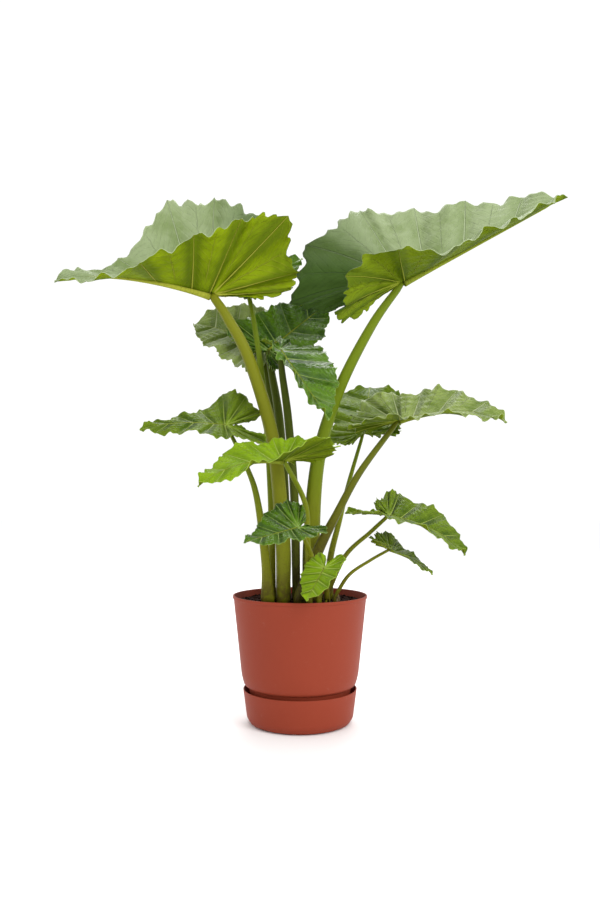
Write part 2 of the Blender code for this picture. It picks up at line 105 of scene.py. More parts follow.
class Leaf:
    """One leaf: where its petiole runs, and how its blade is held, folded and drooped."""

    def __init__(self, name, foot, path, joint, radii, length, heading, pitch, roll, **shape):
        self.name = name
        self.foot = foot            # (x, y) of the petiole on the soil
        self.path = path            # points the petiole passes through, heights above the soil
        self.joint = joint          # where the petiole meets the blade, height above the soil
        self.radii = radii          # petiole radius at the foot, half way and top
        self.length = length        # petiole joint to the tip of the blade
        self.heading = heading      # degrees, 0 is +X and 90 is +Y
        self.pitch = pitch          # degrees that the blade climbs
        self.roll = roll            # degrees that its left half is raised
        # Degrees that each half is raised and its share of the outline's width, sinus to tip.
        self.left = shape.get("left", (5, 5, 5, 5, 5))
        self.right = shape.get("right", (5, 5, 5, 5, 5))
        self.left_width = shape.get("left_width", (1, 1, 1, 1, 1))
        self.right_width = shape.get("right_width", (1, 1, 1, 1, 1))
        self.droop = shape.get("droop", 0)
        self.droop_power = shape.get("droop_power", 1.5)
        self.sweep = shape.get("sweep", 0)
        self.ruffle = shape.get("ruffle", 0.006)
        self.lobe_droop = shape.get("lobe_droop", (0, 0))
        self.lobe_size = shape.get("lobe_size", (1.0, 1.0))


LEAVES = (
    Leaf("upper_left", (-0.036, -0.035),
         ((-0.037, -0.042, 0.138), (-0.058, -0.056, 0.348), (-0.107, -0.080, 0.516), (-0.153, -0.098, 0.605)),
         (-0.187, -0.100, 0.656), (0.018, 0.014, 0.009), 0.33, 210, 8, -8, droop=25, droop_power=1.5,
         left=(40, 45, 55, 62, 42, 0, -45), right=(85, 80, 75, 72, 65, 35, 50),
         left_width=(1, 1, 0.95, 0.95, 1.35, 1.0, 0.95, 0.8, 0.7, 1),
         right_width=(1, 1, 1, 1.0, 1.3, 1.45, 1.45, 0.55, 0.6, 0.9), lobe_size=(1.15, 1.1)),
    Leaf("upper_right", (0.028, 0.010),
         ((0.026, 0.008, 0.132), (0.040, -0.010, 0.308), (0.084, -0.030, 0.458), (0.157, -0.045, 0.602)),
         (0.223, -0.050, 0.695), (0.022, 0.014, 0.008), 0.40, -5, 27, 15,
         left=(20, 30, 50, 62, 66, 54, 45, 43, 32, 25), right=(0, 10, 25, 45, 12, 8, 5),
         left_width=(1, 1, 1, 0.92, 1.12, 1.15, 1, 1.05, 1.1, 1.3),
         right_width=(1, 1, 0.8, 0.6, 0.7, 1, 1), lobe_droop=(20, 30), lobe_size=(1.1, 0.9)),
    Leaf("centre_back", (-0.030, 0.022),
         ((-0.034, 0.026, 0.220), (-0.047, 0.040, 0.401), (-0.066, 0.056, 0.516)),
         (-0.075, 0.063, 0.566), (0.011, 0.010, 0.007), 0.22, 35, 38, 50, left=(5, 5, 5, 5, 10, 10, 10),
         right=(5, 5, 5, 5, 10, 10, 10), right_width=(1, 1, 0.6, 0.6, 0.8, 1, 1), lobe_size=(0.5, 0.4)),
    Leaf("centre_drooping", (-0.008, 0.014),
         ((-0.012, -0.006, 0.221), (-0.026, -0.030, 0.398), (-0.039, -0.052, 0.497)),
         (-0.043, -0.066, 0.546), (0.010, 0.009, 0.006), 0.21, -40, -50, 0,
         left=(-20, -15, -10, 5, 20, 20, 10), right=(0, 0, 0, 10, 10, 10, 10),
         left_width=(1, 1, 1.2, 1.3, 1.25, 1.1, 1), right_width=(0.6, 0.6, 0.5, 0.4, 0.4, 0.5, 0.8),
         lobe_size=(0.65, 0.3)),
    Leaf("centre_left", (-0.044, 0.052),
         ((-0.048, 0.066, 0.220), (-0.064, 0.092, 0.418), (-0.084, 0.118, 0.543)),
         (-0.093, 0.125, 0.591), (0.009, 0.009, 0.006), 0.19, 168, 26, -38, droop=22,
         left=(0, 0, 0, 0, 0, 0, 0), right=(10, 10, 12, 12, 14, 20, 10),
         left_width=(1, 1, 1.2, 1.3, 1.3, 1.3, 1.5), right_width=(1, 1, 1.1, 1.2, 1.3, 1.8, 2.6),
         lobe_size=(0.6, 0.6)),
    Leaf("hidden_back", (-0.062, 0.002),
         ((-0.064, 0.002, 0.220), (-0.080, 0.006, 0.451), (-0.104, 0.030, 0.618)),
         (-0.125, 0.060, 0.723), (0.008, 0.007, 0.005), 0.165, 25, 28, 40, left=(10, 10, 10, 10, 10),
         right=(10, 10, 10, 10, 10), lobe_size=(0.6, 0.6)),
    Leaf("mid_left", (-0.069, -0.042),
         ((-0.074, -0.042, 0.091), (-0.092, -0.052, 0.221), (-0.114, -0.058, 0.290)),
         (-0.159, -0.060, 0.382), (0.013, 0.007, 0.004), 0.185, 195, 5, -26, droop=25,
         left=(0, 0, 0, 0, 0, -10, -10), right=(5, 30, 45, 35, 5, 0, 0),
         right_width=(1, 1, 0.7, 1.05, 0.8, 0.7, 0.8), left_width=(1, 1, 1, 0.9, 0.8, 0.8, 0.8)),
    Leaf("front_bright", (0.020, -0.084),
         ((0.016, -0.082, 0.138), (0.010, -0.102, 0.216)),
         (-0.032, -0.170, 0.300), (0.007, 0.006, 0.005), 0.188, 205, 3, -22, droop=46, droop_power=1.2,
         left=(40, 50, 52, 50, 25, 0, 0), right=(25, 35, 35, 20, 10, 0, 0),
         right_width=(1, 1, 0.9, 0.8, 0.9, 1.3, 1.5), left_width=(1, 1.1, 1.2, 0.9, 0.6, 0.8, 1),
         lobe_size=(1.1, 1), lobe_droop=(10, 0)),
    Leaf("mid_right", (0.002, -0.052),
         ((0.034, -0.052, 0.101), (0.078, -0.045, 0.188), (0.131, -0.035, 0.282)),
         (0.216, -0.020, 0.395), (0.016, 0.009, 0.006), 0.245, -8, 15, 20, droop=42,
         left=(20, 20, 20, 24, 22, 20, 25), right=(0, 20, 30, 25, 10, 5, 5),
         left_width=(1, 1, 0.8, 0.9, 0.9, 1.2, 1.6), right_width=(1, 1, 0.8, 0.7, 0.7, 0.8, 1)),
    Leaf("back_right", (0.066, 0.030),
         ((0.068, 0.032, 0.087), (0.090, 0.042, 0.176), (0.114, 0.066, 0.266)),
         (0.150, 0.115, 0.378), (0.009, 0.006, 0.004), 0.23, 80, 36, 5, left=(0, 0, 0, 0, 0),
         right=(10, 10, 10, 10, 10), left_width=(1, 1, 0.9, 0.8, 0.8, 1.6, 2.4),
         right_width=(1, 1, 0.9, 0.8, 0.9, 1.6, 2.4), lobe_droop=(10, 0), lobe_size=(0.6, 0.12)),
    Leaf("lower_dark", (0.040, -0.078),
         ((0.030, -0.090, 0.085), (0.012, -0.122, 0.135)),
         (-0.004, -0.180, 0.167), (0.006, 0.005, 0.004), 0.125, 212, -12, -15, left=(0, 0, 0, 0, 0),
         right=(20, 25, 25, 20, 15, 10, 5), right_width=(1, 1.2, 1.4, 1.4, 1.2, 1, 1),
         lobe_size=(0.8, 0.8), ruffle=0.004),
    Leaf("young_front", (0.058, -0.066),
         ((0.054, -0.095, 0.053),),
         (0.049, -0.150, 0.084), (0.006, 0.005, 0.004), 0.080, 225, -50, 0,
         left_width=(1, 1.1, 1.2, 1.3, 1.3, 1.5, 1.5), right_width=(1, 1.1, 1.2, 1.3, 1.3, 1.5, 1.5),
         ruffle=0.003),
    Leaf("lower_right", (0.058, -0.014),
         ((0.098, -0.030, 0.099), (0.151, -0.055, 0.152)),
         (0.188, -0.080, 0.189), (0.006, 0.0045, 0.004), 0.185, -15, -12, 30, droop=45,
         left=(8, 8, 5, 5, 5, 8, 8), right=(22, 22, 25, 30, 30, 25, 22),
         left_width=(0.6, 0.6, 0.7, 0.9, 0.95, 1, 1), lobe_size=(0.5, 1.0)),
    Leaf("small_right", (0.074, -0.045),
         ((0.105, -0.050, 0.060), (0.150, -0.058, 0.092)),
         (0.192, -0.060, 0.116), (0.0045, 0.0035, 0.003), 0.105, -15, -20, 8, droop=25,
         left=(5, 30, 30, 20, 5, 0, 0), right=(0, 30, 20, 10, 0), ruffle=0.003),
)


# ---- shader wiring ----------------------------------------------------------
class Wire:
    """A shader socket that takes part in sums."""

    def __init__(self, paint, socket):
        self.paint = paint
        self.socket = socket

    def sum(self, operation, first, second):
        return self.paint.node("ShaderNodeMath", {"operation": operation}, {0: first, 1: second})

    def __add__(self, other):
        return self.sum("ADD", self, other)

    def __radd__(self, other):
        return self.sum("ADD", other, self)

    def __sub__(self, other):
        return self.sum("SUBTRACT", self, other)

    def __rsub__(self, other):
        return self.sum("SUBTRACT", other, self)

    def __mul__(self, other):
        return self.sum("MULTIPLY", self, other)

    def __rmul__(self, other):
        return self.sum("MULTIPLY", other, self)

    def __abs__(self):
        return self.sum("ABSOLUTE", self, 0.0)


class Paint:
    """One material, built node by node."""

    def __init__(self, name):
        self.material = bpy.data.materials.new(name)
        self.material.use_nodes = True
        self.tree = self.material.node_tree
        self.shader = self.tree.nodes["Principled BSDF"]
        self.out = self.tree.nodes["Material Output"]

    def node(self, kind, settings=None, inputs=None, output=0):
        """Any node: its settings first, then the values or links of its sockets."""
        made = self.tree.nodes.new(kind)
        for key, value in (settings or {}).items():
            setattr(made, key, value)
        for key, value in (inputs or {}).items():
            self.feed(made.inputs[key], value)
        return Wire(self, made.outputs[output])

    def feed(self, socket, value):
        if isinstance(value, Wire):
            self.tree.links.new(value.socket, socket)
        elif isinstance(value, tuple) and len(value) == 3 and socket.type == "RGBA":
            socket.default_value = (*value, 1.0)
        else:
            socket.default_value = value

    def ramp(self, value, low, high):
        """0 below low and 1 above high, with soft ends."""
        return self.node("ShaderNodeMapRange", {"interpolation_type": "SMOOTHSTEP"},
                         {"Value": value, "From Min": low, "From Max": high})

    def blend(self, share, first, second):
        """A colour between two colours."""
        return self.node("ShaderNodeMix", {"data_type": "RGBA"}, {0: share, 6: first, 7: second}, output=2)

    def speckle(self, place, scale, detail=3.0, roughness=0.55, distortion=0.0):
        return self.node("ShaderNodeTexNoise", None, {"Vector": place, "Scale": scale, "Detail": detail,
                                                      "Roughness": roughness, "Distortion": distortion})

    def place(self):
        return self.node("ShaderNodeTexCoord", output=3)

    def map(self, name):
        """The two numbers of a UV map."""
        both = self.node("ShaderNodeUVMap", {"uv_map": name})
        split = self.tree.nodes.new("ShaderNodeSeparateXYZ")
        self.tree.links.new(both.socket, split.inputs[0])
        return Wire(self, split.outputs[0]), Wire(self, split.outputs[1])

    def height(self):
        split = self.tree.nodes.new("ShaderNodeSeparateXYZ")
        self.tree.links.new(self.place().socket, split.inputs[0])
        return Wire(self, split.outputs[2])

    def bump(self, height, distance, strength=1.0):
        return self.node("ShaderNodeBump", None,
                         {"Height": height, "Distance": distance, "Strength": strength})

    def finish(self, **sockets):
        for name, value in sockets.items():
            self.feed(self.shader.inputs[name.replace("_", " ").title().replace("Ior", "IOR")], value)
        return self.material

    def glow_through(self, colour, share, normal=None):
        """Mixes in light that comes through a thin blade."""
        thin = self.tree.nodes.new("ShaderNodeBsdfTranslucent")
        self.feed(thin.inputs["Color"], colour)
        if normal is not None:
            self.feed(thin.inputs["Normal"], normal)
        mixed = self.tree.nodes.new("ShaderNodeMixShader")
        mixed.inputs[0].default_value = share
        self.tree.links.new(self.shader.outputs[0], mixed.inputs[1])
        self.tree.links.new(thin.outputs[0], mixed.inputs[2])
        self.tree.links.new(mixed.outputs[0], self.out.inputs["Surface"])


# ---- leaf finishes ----------------------------------------------------------
def vein_marks(paint):
    """Veins, fine net, the place between two veins, out and along, and where the veins stand apart."""
    row, across = paint.map("veins")
    spacing, side = paint.map("reach")
    out = abs(across * 2 - 1)
    number = row * VEINS
    between = abs(paint.node("ShaderNodeMath", {"operation": "FRACT"}, {0: number + 0.5}) - 0.5)
    distance = between * spacing
    vein_width = 0.0034 - 0.0024 * out
    side_vein = 1 - paint.ramp(distance, vein_width * 0.25, vein_width)
    rib_width = 0.0060 - 0.0045 * row
    midrib = (1 - paint.ramp(side, rib_width * 0.45, rib_width)) * paint.ramp(row, 0.50, 0.56)
    vein = paint.node("ShaderNodeMath", {"operation": "MAXIMUM"}, {0: side_vein, 1: midrib})
    halfway = abs(paint.node("ShaderNodeMath", {"operation": "FRACT"}, {0: number}) - 0.5)
    minor = 1 - paint.ramp(halfway * spacing, vein_width * 0.15, vein_width * 0.6)
    minor = minor * paint.ramp(out, 0.10, 0.30) * (1 - paint.ramp(out, 0.75, 0.98))
    wander = 0.5 * paint.speckle(paint.place(), 30.0, 2.0)
    fine = paint.node("ShaderNodeMath", {"operation": "FRACT"}, {0: out * 9 + between * 6 + wander})
    net = (1 - paint.ramp(abs(fine - 0.5), 0.0, 0.14)) * paint.ramp(distance, 0.0020, 0.0080)
    net = paint.node("ShaderNodeMath", {"operation": "MAXIMUM"}, {0: net * 0.7, 1: minor * 2.2})
    open_blade = paint.ramp(spacing, 0.006, 0.026) * (1 - paint.ramp(row, 0.90, 0.98))
    return vein, net * open_blade, between, out, row, open_blade


def upper_side(name, dark, light, vein_colour, roughness, shine, bloom, depth, lobe_shade=0.0):
    paint = Paint(name)
    place = paint.place()
    vein, net, between, out, row, open_blade = vein_marks(paint)
    patches = paint.speckle(place, 11.0, 4.0, 0.62)
    mottle = paint.speckle(place, 75.0, 3.0, 0.6)
    panel = paint.ramp(between, 0.03, 0.30)
    # The panel term is painted light and shade: the raised panels between the veins lighter, the grooves
    # beside the veins darker.
    tone = paint.ramp(patches * 0.8 + mottle * 0.2 + panel * 0.10 + out * 0.06 - 0.08, 0.32, 0.66)
    colour = paint.blend(tone, dark, light)
    colour = paint.blend(net * 0.16, colour, vein_colour)
    colour = paint.blend(vein * 0.85, colour, vein_colour)
    edge = paint.ramp(out, 0.968, 1.0)
    colour = paint.blend(edge * 0.7, colour, vein_colour)
    if lobe_shade:
        colour = paint.blend((1 - paint.ramp(row, 0.38, 0.60)) * lobe_shade, colour, SHADED_LOBE)
    pucker = paint.speckle(place, 42.0, 3.0, 0.55, 0.5)
    relief = (panel * 1.0 - vein * 0.6 - net * 0.20) * open_blade + pucker * 0.8
    normal = paint.bump(relief, depth, 1.0)
    rough = roughness + 0.20 * mottle - 0.06
    paint.glow_through(light, 0.16)
    return paint.finish(base_color=colour, roughness=rough, normal=normal, sheen_weight=bloom,
                        sheen_roughness=0.45, specular_ior_level=shine)


def lower_side(name, dark, light, vein_colour, share):
    paint = Paint(name)
    place = paint.place()
    vein, net, between, out, _, open_blade = vein_marks(paint)
    patches = paint.speckle(place, 12.0, 4.0, 0.6)
    panel = paint.ramp(between, 0.02, 0.34)
    # The panel term is painted light and shade: the raised panels between the veins lighter, the grooves
    # beside the veins darker.
    tone = paint.ramp(patches * 0.8 + out * 0.12 + panel * 0.22 - 0.10, 0.30, 0.72)
    colour = paint.blend(tone, dark, light)
    colour = paint.blend(net * 0.30, colour, vein_colour)
    colour = paint.blend(vein * 0.9, colour, vein_colour)
    # Painted shade: a darker band just beside each vein, where the blade dips into the vein's groove.
    painted_groove_shade = paint.ramp(between, 0.0, 0.10) * (1 - paint.ramp(between, 0.10, 0.24)) * (1 - vein)
    colour = paint.blend(painted_groove_shade * 0.28, colour, tuple(0.5 * c for c in dark))
    relief = (vein * 1.2 + net * 0.25 - panel * 0.7) * open_blade + 0.25 * paint.speckle(place, 120.0, 3.0)
    normal = paint.bump(relief, 0.0050, 1.0)
    thin = paint.blend(vein * 0.7 + net * 0.15, light, tuple(0.35 * c for c in dark))
    paint.glow_through(thin, share)
    return paint.finish(base_color=colour, roughness=0.60, normal=normal, specular_ior_level=0.12)


def petiole_finish(name, green, olive, brown, brown_height):
    """Green above, olive and then brown and speckled towards the soil, with fine ribs along it."""
    paint = Paint(name)
    place = paint.place()
    around, along = paint.map("veins")
    above = paint.height() - SOIL_TOP
    streak_place = paint.node("ShaderNodeCombineXYZ", None, {0: around * 60.0, 1: along * 9.0})
    streaks = paint.speckle(streak_place, 1.0, 3.0, 0.6)
    mottle = paint.speckle(place, 70.0, 4.0, 0.65)
    spots = paint.ramp(paint.speckle(place, 230.0, 2.0, 0.5), 0.56, 0.66)
    colour = paint.blend(paint.ramp(above + 0.10 * streaks, 0.10, 0.42), olive, green)
    colour = paint.blend(0.35 * streaks, colour, olive)
    low = 1 - paint.ramp(above + 0.07 * mottle - 0.02, brown_height * 0.25, brown_height)
    colour = paint.blend(low * paint.ramp(mottle, 0.36, 0.62), colour, brown)
    colour = paint.blend(spots * 0.45 * (1 - paint.ramp(above, 0.05, 0.30)), colour, brown)
    rib_place = paint.node("ShaderNodeCombineXYZ", None, {0: around * 110.0, 1: along * 3.0})
    ribs = paint.speckle(rib_place, 1.0, 1.0)
    normal = paint.bump(ribs * 0.6 + mottle * 0.4, 0.0011, 0.8)
    return paint.finish(base_color=colour, roughness=0.36 + 0.2 * mottle, normal=normal,
                        specular_ior_level=0.12)


def moulded_plastic(name, colour, shade):
    """Matt moulded plastic with a fine spark-eroded grain and faint turning marks."""
    paint = Paint(name)
    place = paint.place()
    cloud = paint.speckle(place, 6.0, 3.0, 0.5)
    grain = paint.speckle(place, 900.0, 2.0, 0.6)
    split = paint.node("ShaderNodeVectorMath", {"operation": "MULTIPLY"}, {0: place, 1: (3.0, 3.0, 420.0)})
    rings = paint.speckle(split, 1.0, 2.0, 0.5)
    dust = paint.ramp(paint.speckle(place, 38.0, 5.0, 0.7), 0.60, 0.80)
    tinted = paint.blend(cloud * 0.8 + grain * 0.2 - 0.1, shade, colour)
    tinted = paint.blend(dust * 0.06, tinted, (0.60, 0.42, 0.36))
    normal = paint.bump(grain * 0.7 + rings * 0.3, 0.00035, 0.6)
    return paint.finish(base_color=tinted, roughness=0.44 + 0.12 * cloud + 0.06 * grain, normal=normal,
                        specular_ior_level=0.14)


def soil_finish():
    paint = Paint("damp potting soil")
    place = paint.place()
    coarse = paint.speckle(place, 60.0, 5.0, 0.7)
    fine = paint.speckle(place, 420.0, 4.0, 0.7)
    bark = paint.ramp(paint.speckle(place, 130.0, 2.0, 0.5), 0.62, 0.68)
    colour = paint.blend(paint.ramp(coarse * 0.6 + fine * 0.4, 0.35, 0.65), (0.006, 0.002, 0.001),
                         (0.030, 0.010, 0.006))
    colour = paint.blend(bark * 0.5, colour, (0.075, 0.030, 0.014))
    normal = paint.bump(coarse * 0.6 + fine * 0.5, 0.0030, 1.0)
    return paint.finish(base_color=colour, roughness=0.80 + 0.15 * fine, normal=normal,
                        specular_ior_level=0.03)


def dry_sheath():
    paint = Paint("dry leaf sheath")
    place = paint.place()
    stretched = paint.node("ShaderNodeVectorMath", {"operation": "MULTIPLY"},
                           {0: place, 1: (420.0, 420.0, 35.0)})
    fibres = paint.speckle(stretched, 1.0, 4.0, 0.6)
    mottle = paint.speckle(place, 160.0, 3.0, 0.6)
    colour = paint.blend(paint.ramp(fibres * 0.6 + mottle * 0.4, 0.35, 0.65), (0.050, 0.028, 0.012),
                         (0.260, 0.190, 0.090))
    normal = paint.bump(fibres, 0.0012, 1.0)
    return paint.finish(base_color=colour, roughness=0.85, normal=normal, specular_ior_level=0.2)


# ---- mesh helpers -----------------------------------------------------------
def add_piece(name, shape, node, materials):
    """A finished piece made from a bmesh: it rides on the root body and stands for its CAD node."""
    mesh = bpy.data.meshes.new(name)
    shape.to_mesh(mesh)
    shape.free()
    for material in materials:
        mesh.materials.append(material)
    mesh.shade_smooth()
    piece = bpy.data.objects.new(name, mesh)
    bpy.context.scene.collection.objects.link(piece)
    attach(piece, "root")
    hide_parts(node)
    return piece


def sheet_grid(columns, rows):
    """A grid, and the place of each of its vertices in the unit square."""
    shape = bmesh.new()
    bmesh.ops.create_grid(shape, x_segments=columns, y_segments=rows, size=1.0)
    place = np.array([((v.co.x + 1) / 2, (v.co.y + 1) / 2) for v in shape.verts])
    return shape, place


def fill_map(shape, name, values):
    """Writes two numbers per vertex into a UV map."""
    layer = shape.loops.layers.uv.new(name)
    for face in shape.faces:
        for loop in face.loops:
            loop[layer].uv = values[loop.vert.index]


def turned(profile, steps=160):
    """A solid of revolution from (radius, height) points, from the axis round and back to it."""
    shape = bmesh.new()
    corners = [shape.verts.new((radius, 0, height)) for radius, height in profile]
    edges = [shape.edges.new(pair) for pair in zip(corners, corners[1:])]
    bmesh.ops.spin(shape, geom=corners + edges, cent=(0, 0, 0), axis=(0, 0, 1), angle=math.tau, steps=steps,
                   use_merge=True)
    bmesh.ops.remove_doubles(shape, verts=shape.verts, dist=0.00002)
    bmesh.ops.recalc_face_normals(shape, faces=shape.faces)
    return shape


def rounded(corners, radii, steps=5):
    """A profile whose corners are rounded, each by its own radius."""
    profile = [corners[0]]
    for before, corner, after, radius in zip(corners, corners[1:], corners[2:], radii[1:]):
        here, back, ahead = Vector(corner), Vector(before) - Vector(corner), Vector(after) - Vector(corner)
        if radius <= 0:
            profile.append(corner)
            continue
        reach = min(radius, back.length * 0.48, ahead.length * 0.48)
        start, end = here + back.normalized() * reach, here + ahead.normalized() * reach
        for step in range(steps + 1):
            t = step / steps
            point = start * (1 - t) ** 2 + here * 2 * t * (1 - t) + end * t ** 2
            profile.append((point.x, point.y))
    profile.append(corners[-1])
    return profile


# ---- leaves -----------------------------------------------------------------
def smooth_path(points, share):
    """Catmull-Rom curve through the points, at each share of its way (0 to 1)."""
    points = np.array(points, dtype=float)
    ends = np.concatenate([[2 * points[0] - points[1]], points, [2 * points[-1] - points[-2]]])
    place = np.clip(np.asarray(share, dtype=float), 0, 1) * (len(points) - 1)
    index = np.minimum(place.astype(int), len(points) - 2)
    t = (place - index).reshape((-1,) + (1,) * (points.ndim - 1))
    a, b, c, d = ends[index], ends[index + 1], ends[index + 2], ends[index + 3]
    curved = (2 * a - 5 * b + 4 * c - d) * t ** 2 + (3 * b - a - 3 * c + d) * t ** 3
    return 0.5 * (2 * b + (c - a) * t + curved)


def by_side(pair, left):
    return np.where(left, pair[0], pair[1])


def blade_rotation(leaf):
    heading, pitch, roll = (math.radians(angle) for angle in (leaf.heading, leaf.pitch, leaf.roll))
    about_x = np.array([[1, 0, 0], [0, math.cos(roll), -math.sin(roll)], [0, math.sin(roll), math.cos(roll)]])
    about_y = np.array([[math.cos(pitch), 0, -math.sin(pitch)], [0, 1, 0],
                        [math.sin(pitch), 0, math.cos(pitch)]])
    about_z = np.array([[math.cos(heading), -math.sin(heading), 0], [math.sin(heading), math.cos(heading), 0],
                        [0, 0, 1]])
    return about_z @ about_y @ about_x


def joint_of(leaf):
    return np.array([leaf.joint[0], leaf.joint[1], SOIL_TOP + leaf.joint[2]])


def blade_surface(leaf, across, row, pleat=0.0, tooth=0.0, crinkle=0.0):
    """Points of the blade: across is -1 (right margin) to 1, row is 0 (sinus) to 1 (tip)."""
    left = across >= 0
    out = np.abs(across)
    margin = smooth_path(OUTLINE, row)
    vein = row * VEINS
    between = np.sin(math.pi * (vein - np.floor(vein)))
    uneven = np.sin(vein * 2.3 + leaf.heading + by_side((0, 2), left))
    reach = 1 - (SCALLOP * between ** 0.8 - 0.05 * uneven) * out ** 3
    place = vein - np.floor(vein) + 0.10 * uneven
    teeth = np.exp(-((place - 0.52) / 0.10) ** 2) + 0.6 * np.exp(-((place - 0.24) / 0.07) ** 2)
    reach = reach + tooth * (teeth + 0.6 * np.exp(-((place - 0.80) / 0.07) ** 2) - 0.35) * out ** 6
    root = np.maximum(margin[:, 2], 0)
    along = root + out * (margin[:, 0] - root) * reach
    width = by_side((smooth_path(leaf.left_width, row), smooth_path(leaf.right_width, row)), left)
    side = out * margin[:, 1] * width * reach
    fold = np.radians(by_side((smooth_path(leaf.left, row), smooth_path(leaf.right, row)), left))
    wave = np.sin(math.pi * vein + 0.8 * uneven) * leaf.ruffle / leaf.length * out ** 2.2
    wave = wave + pleat / leaf.length * (between ** 2 - 0.5) * np.minimum(1, 3 * out) * (1 - 0.4 * out)
    ripple = np.sin(math.tau * 1.55 * vein + 1.7 * uneven)
    ripple = ripple + 0.6 * np.sin(math.tau * 2.7 * vein + leaf.heading)
    buckle = np.sin(math.tau * (5 * out + 0.4 * uneven)) * between * np.minimum(1, 4 * out)
    wave = wave + crinkle / leaf.length * (ripple * out ** 4 + 0.3 * buckle)
    flat = by_side((1, -1), left) * (side * np.cos(fold) - wave * np.sin(fold))
    lift = side * np.sin(fold) + wave * np.cos(fold)

    along = np.where(along < 0, along * by_side(leaf.lobe_size, left), along)
    samples = along[:, None] * (np.arange(CURVE_SAMPLES) + 0.5) / CURVE_SAMPLES
    lobe_droop = np.radians(by_side(leaf.lobe_droop, left))[:, None] / LOBE_REACH
    droop, sweep = math.radians(leaf.droop), math.radians(leaf.sweep)

    def slope(distance):
        return np.where(distance > 0, -droop * np.abs(distance) ** leaf.droop_power, -lobe_droop * distance)

    def turn(distance):
        return sweep * np.maximum(distance, 0)

    forward = along * (np.cos(slope(samples)) * np.cos(turn(samples))).mean(axis=1)
    aside = along * (np.cos(slope(samples)) * np.sin(turn(samples))).mean(axis=1)
    up = along * np.sin(slope(samples)).mean(axis=1)
    tilt, turned_by = slope(along[:, None])[:, 0], turn(along)
    points = np.stack([forward - flat * np.sin(turned_by) - lift * np.sin(tilt) * np.cos(turned_by),
                       aside + flat * np.cos(turned_by) - lift * np.sin(tilt) * np.sin(turned_by),
                       up + lift * np.cos(tilt)], axis=1)
    return points * leaf.length @ blade_rotation(leaf).T + joint_of(leaf)


def add_midrib(shape, leaf):
    """The thick midrib under the blade, which carries the petiole on and thins towards the tip."""
    made = bmesh.ops.create_grid(shape, x_segments=RIB_SIDES, y_segments=RIB_ROWS, size=1.0)["verts"]
    place = np.array([((v.co.x + 1) / 2, (v.co.y + 1) / 2) for v in made])
    share = np.linspace(0, 1, RIB_ROWS + 1)
    row = RIB_START + RIB_SPAN * share
    centre = blade_surface(leaf, np.zeros_like(row), row)
    near = np.full_like(row, 0.04)
    aside = blade_surface(leaf, near, row) - blade_surface(leaf, -near, row)
    aside /= np.linalg.norm(aside, axis=1)[:, None]
    forward = np.gradient(centre, axis=0) + blade_rotation(leaf)[:, 0] * 0.00001
    forward /= np.linalg.norm(forward, axis=1)[:, None]
    normal = np.cross(forward, aside)
    radius = (leaf.radii[2] * RIB_SHARE * (1 - share) ** 0.9 + 0.0005) * np.minimum(1, share * 12 + 0.002)
    radius[-1] = 0.00002
    centre = centre - normal * (radius * 0.80)[:, None]
    index = np.rint(place[:, 1] * RIB_ROWS).astype(int)
    angle = place[:, 0] * math.tau
    points = centre[index] + radius[index][:, None] * (np.cos(angle)[:, None] * aside[index]
                                                       + np.sin(angle)[:, None] * normal[index])
    for vertex, point in zip(made, points):
        vertex.co = point
        for face in vertex.link_faces:
            face.material_index = 1
    return row[index]


def build_blade(leaf, upper, lower):
    """The blade as a thin pleated sheet with its midrib, and the maps that place its veins."""
    shape, place = sheet_grid(BLADE_COLUMNS, BLADE_ROWS)
    across, row = place[:, 0] * 2 - 1, place[:, 1]
    grown = min(1.0, leaf.length / FULL_GROWN)
    points = blade_surface(leaf, across, row, pleat=PLEAT * grown, tooth=0.05 + 0.03 * grown,
                           crinkle=CRINKLE * grown ** 1.5)
    step = 0.5 / VEINS
    ahead = blade_surface(leaf, across, np.minimum(row + step / 2, 1))
    behind = blade_surface(leaf, across, np.maximum(row - step / 2, 0))
    spacing = np.linalg.norm(ahead - behind, axis=1) / (step * VEINS)
    centre = blade_surface(leaf, np.zeros_like(across), row)
    side = np.linalg.norm(points - centre, axis=1)
    for vertex, point in zip(shape.verts, points):
        vertex.co = point
    rib_row = add_midrib(shape, leaf)
    middle = np.full_like(rib_row, 0.5)
    shape.verts.index_update()
    fill_map(shape, "veins", np.concatenate([np.stack([row, (across + 1) / 2], axis=1),
                                             np.stack([rib_row, middle], axis=1)]))
    fill_map(shape, "reach", np.concatenate([np.stack([spacing, side], axis=1),
                                             np.stack([middle, 0 * middle], axis=1)]))
    bmesh.ops.remove_doubles(shape, verts=shape.verts, dist=0.0001)
    sheet = [face for face in shape.faces if face.material_index == 0]
    bmesh.ops.reverse_faces(shape, faces=sheet)
    bmesh.ops.recalc_face_normals(shape, faces=[face for face in shape.faces if face.material_index == 1])
    piece = add_piece("leaf_" + leaf.name, shape, "blade_" + leaf.name, [upper, lower])
    thick = piece.modifiers.new("Thickness", "SOLIDIFY")
    thick.thickness = BLADE_THICKNESS
    thick.offset = 0.0
    thick.material_offset = 1


def petiole_route(leaf):
    """Centre line from the soil to just under the blade, and the radius along it."""
    foot = np.array([*leaf.foot, SOIL_TOP])
    start = foot + np.array([0, 0, PETIOLE_RISE])
    path = [np.array([x, y, SOIL_TOP + z]) for x, y, z in leaf.path]
    normal = blade_rotation(leaf) @ np.array([0.0, 0.0, 1.0])
    joint = joint_of(leaf)
    aim = (joint - path[-1]) / np.linalg.norm(joint - path[-1])
    end = joint - aim * 0.0004 / max(0.35, abs(aim @ normal))
    return [start, *path, end], foot


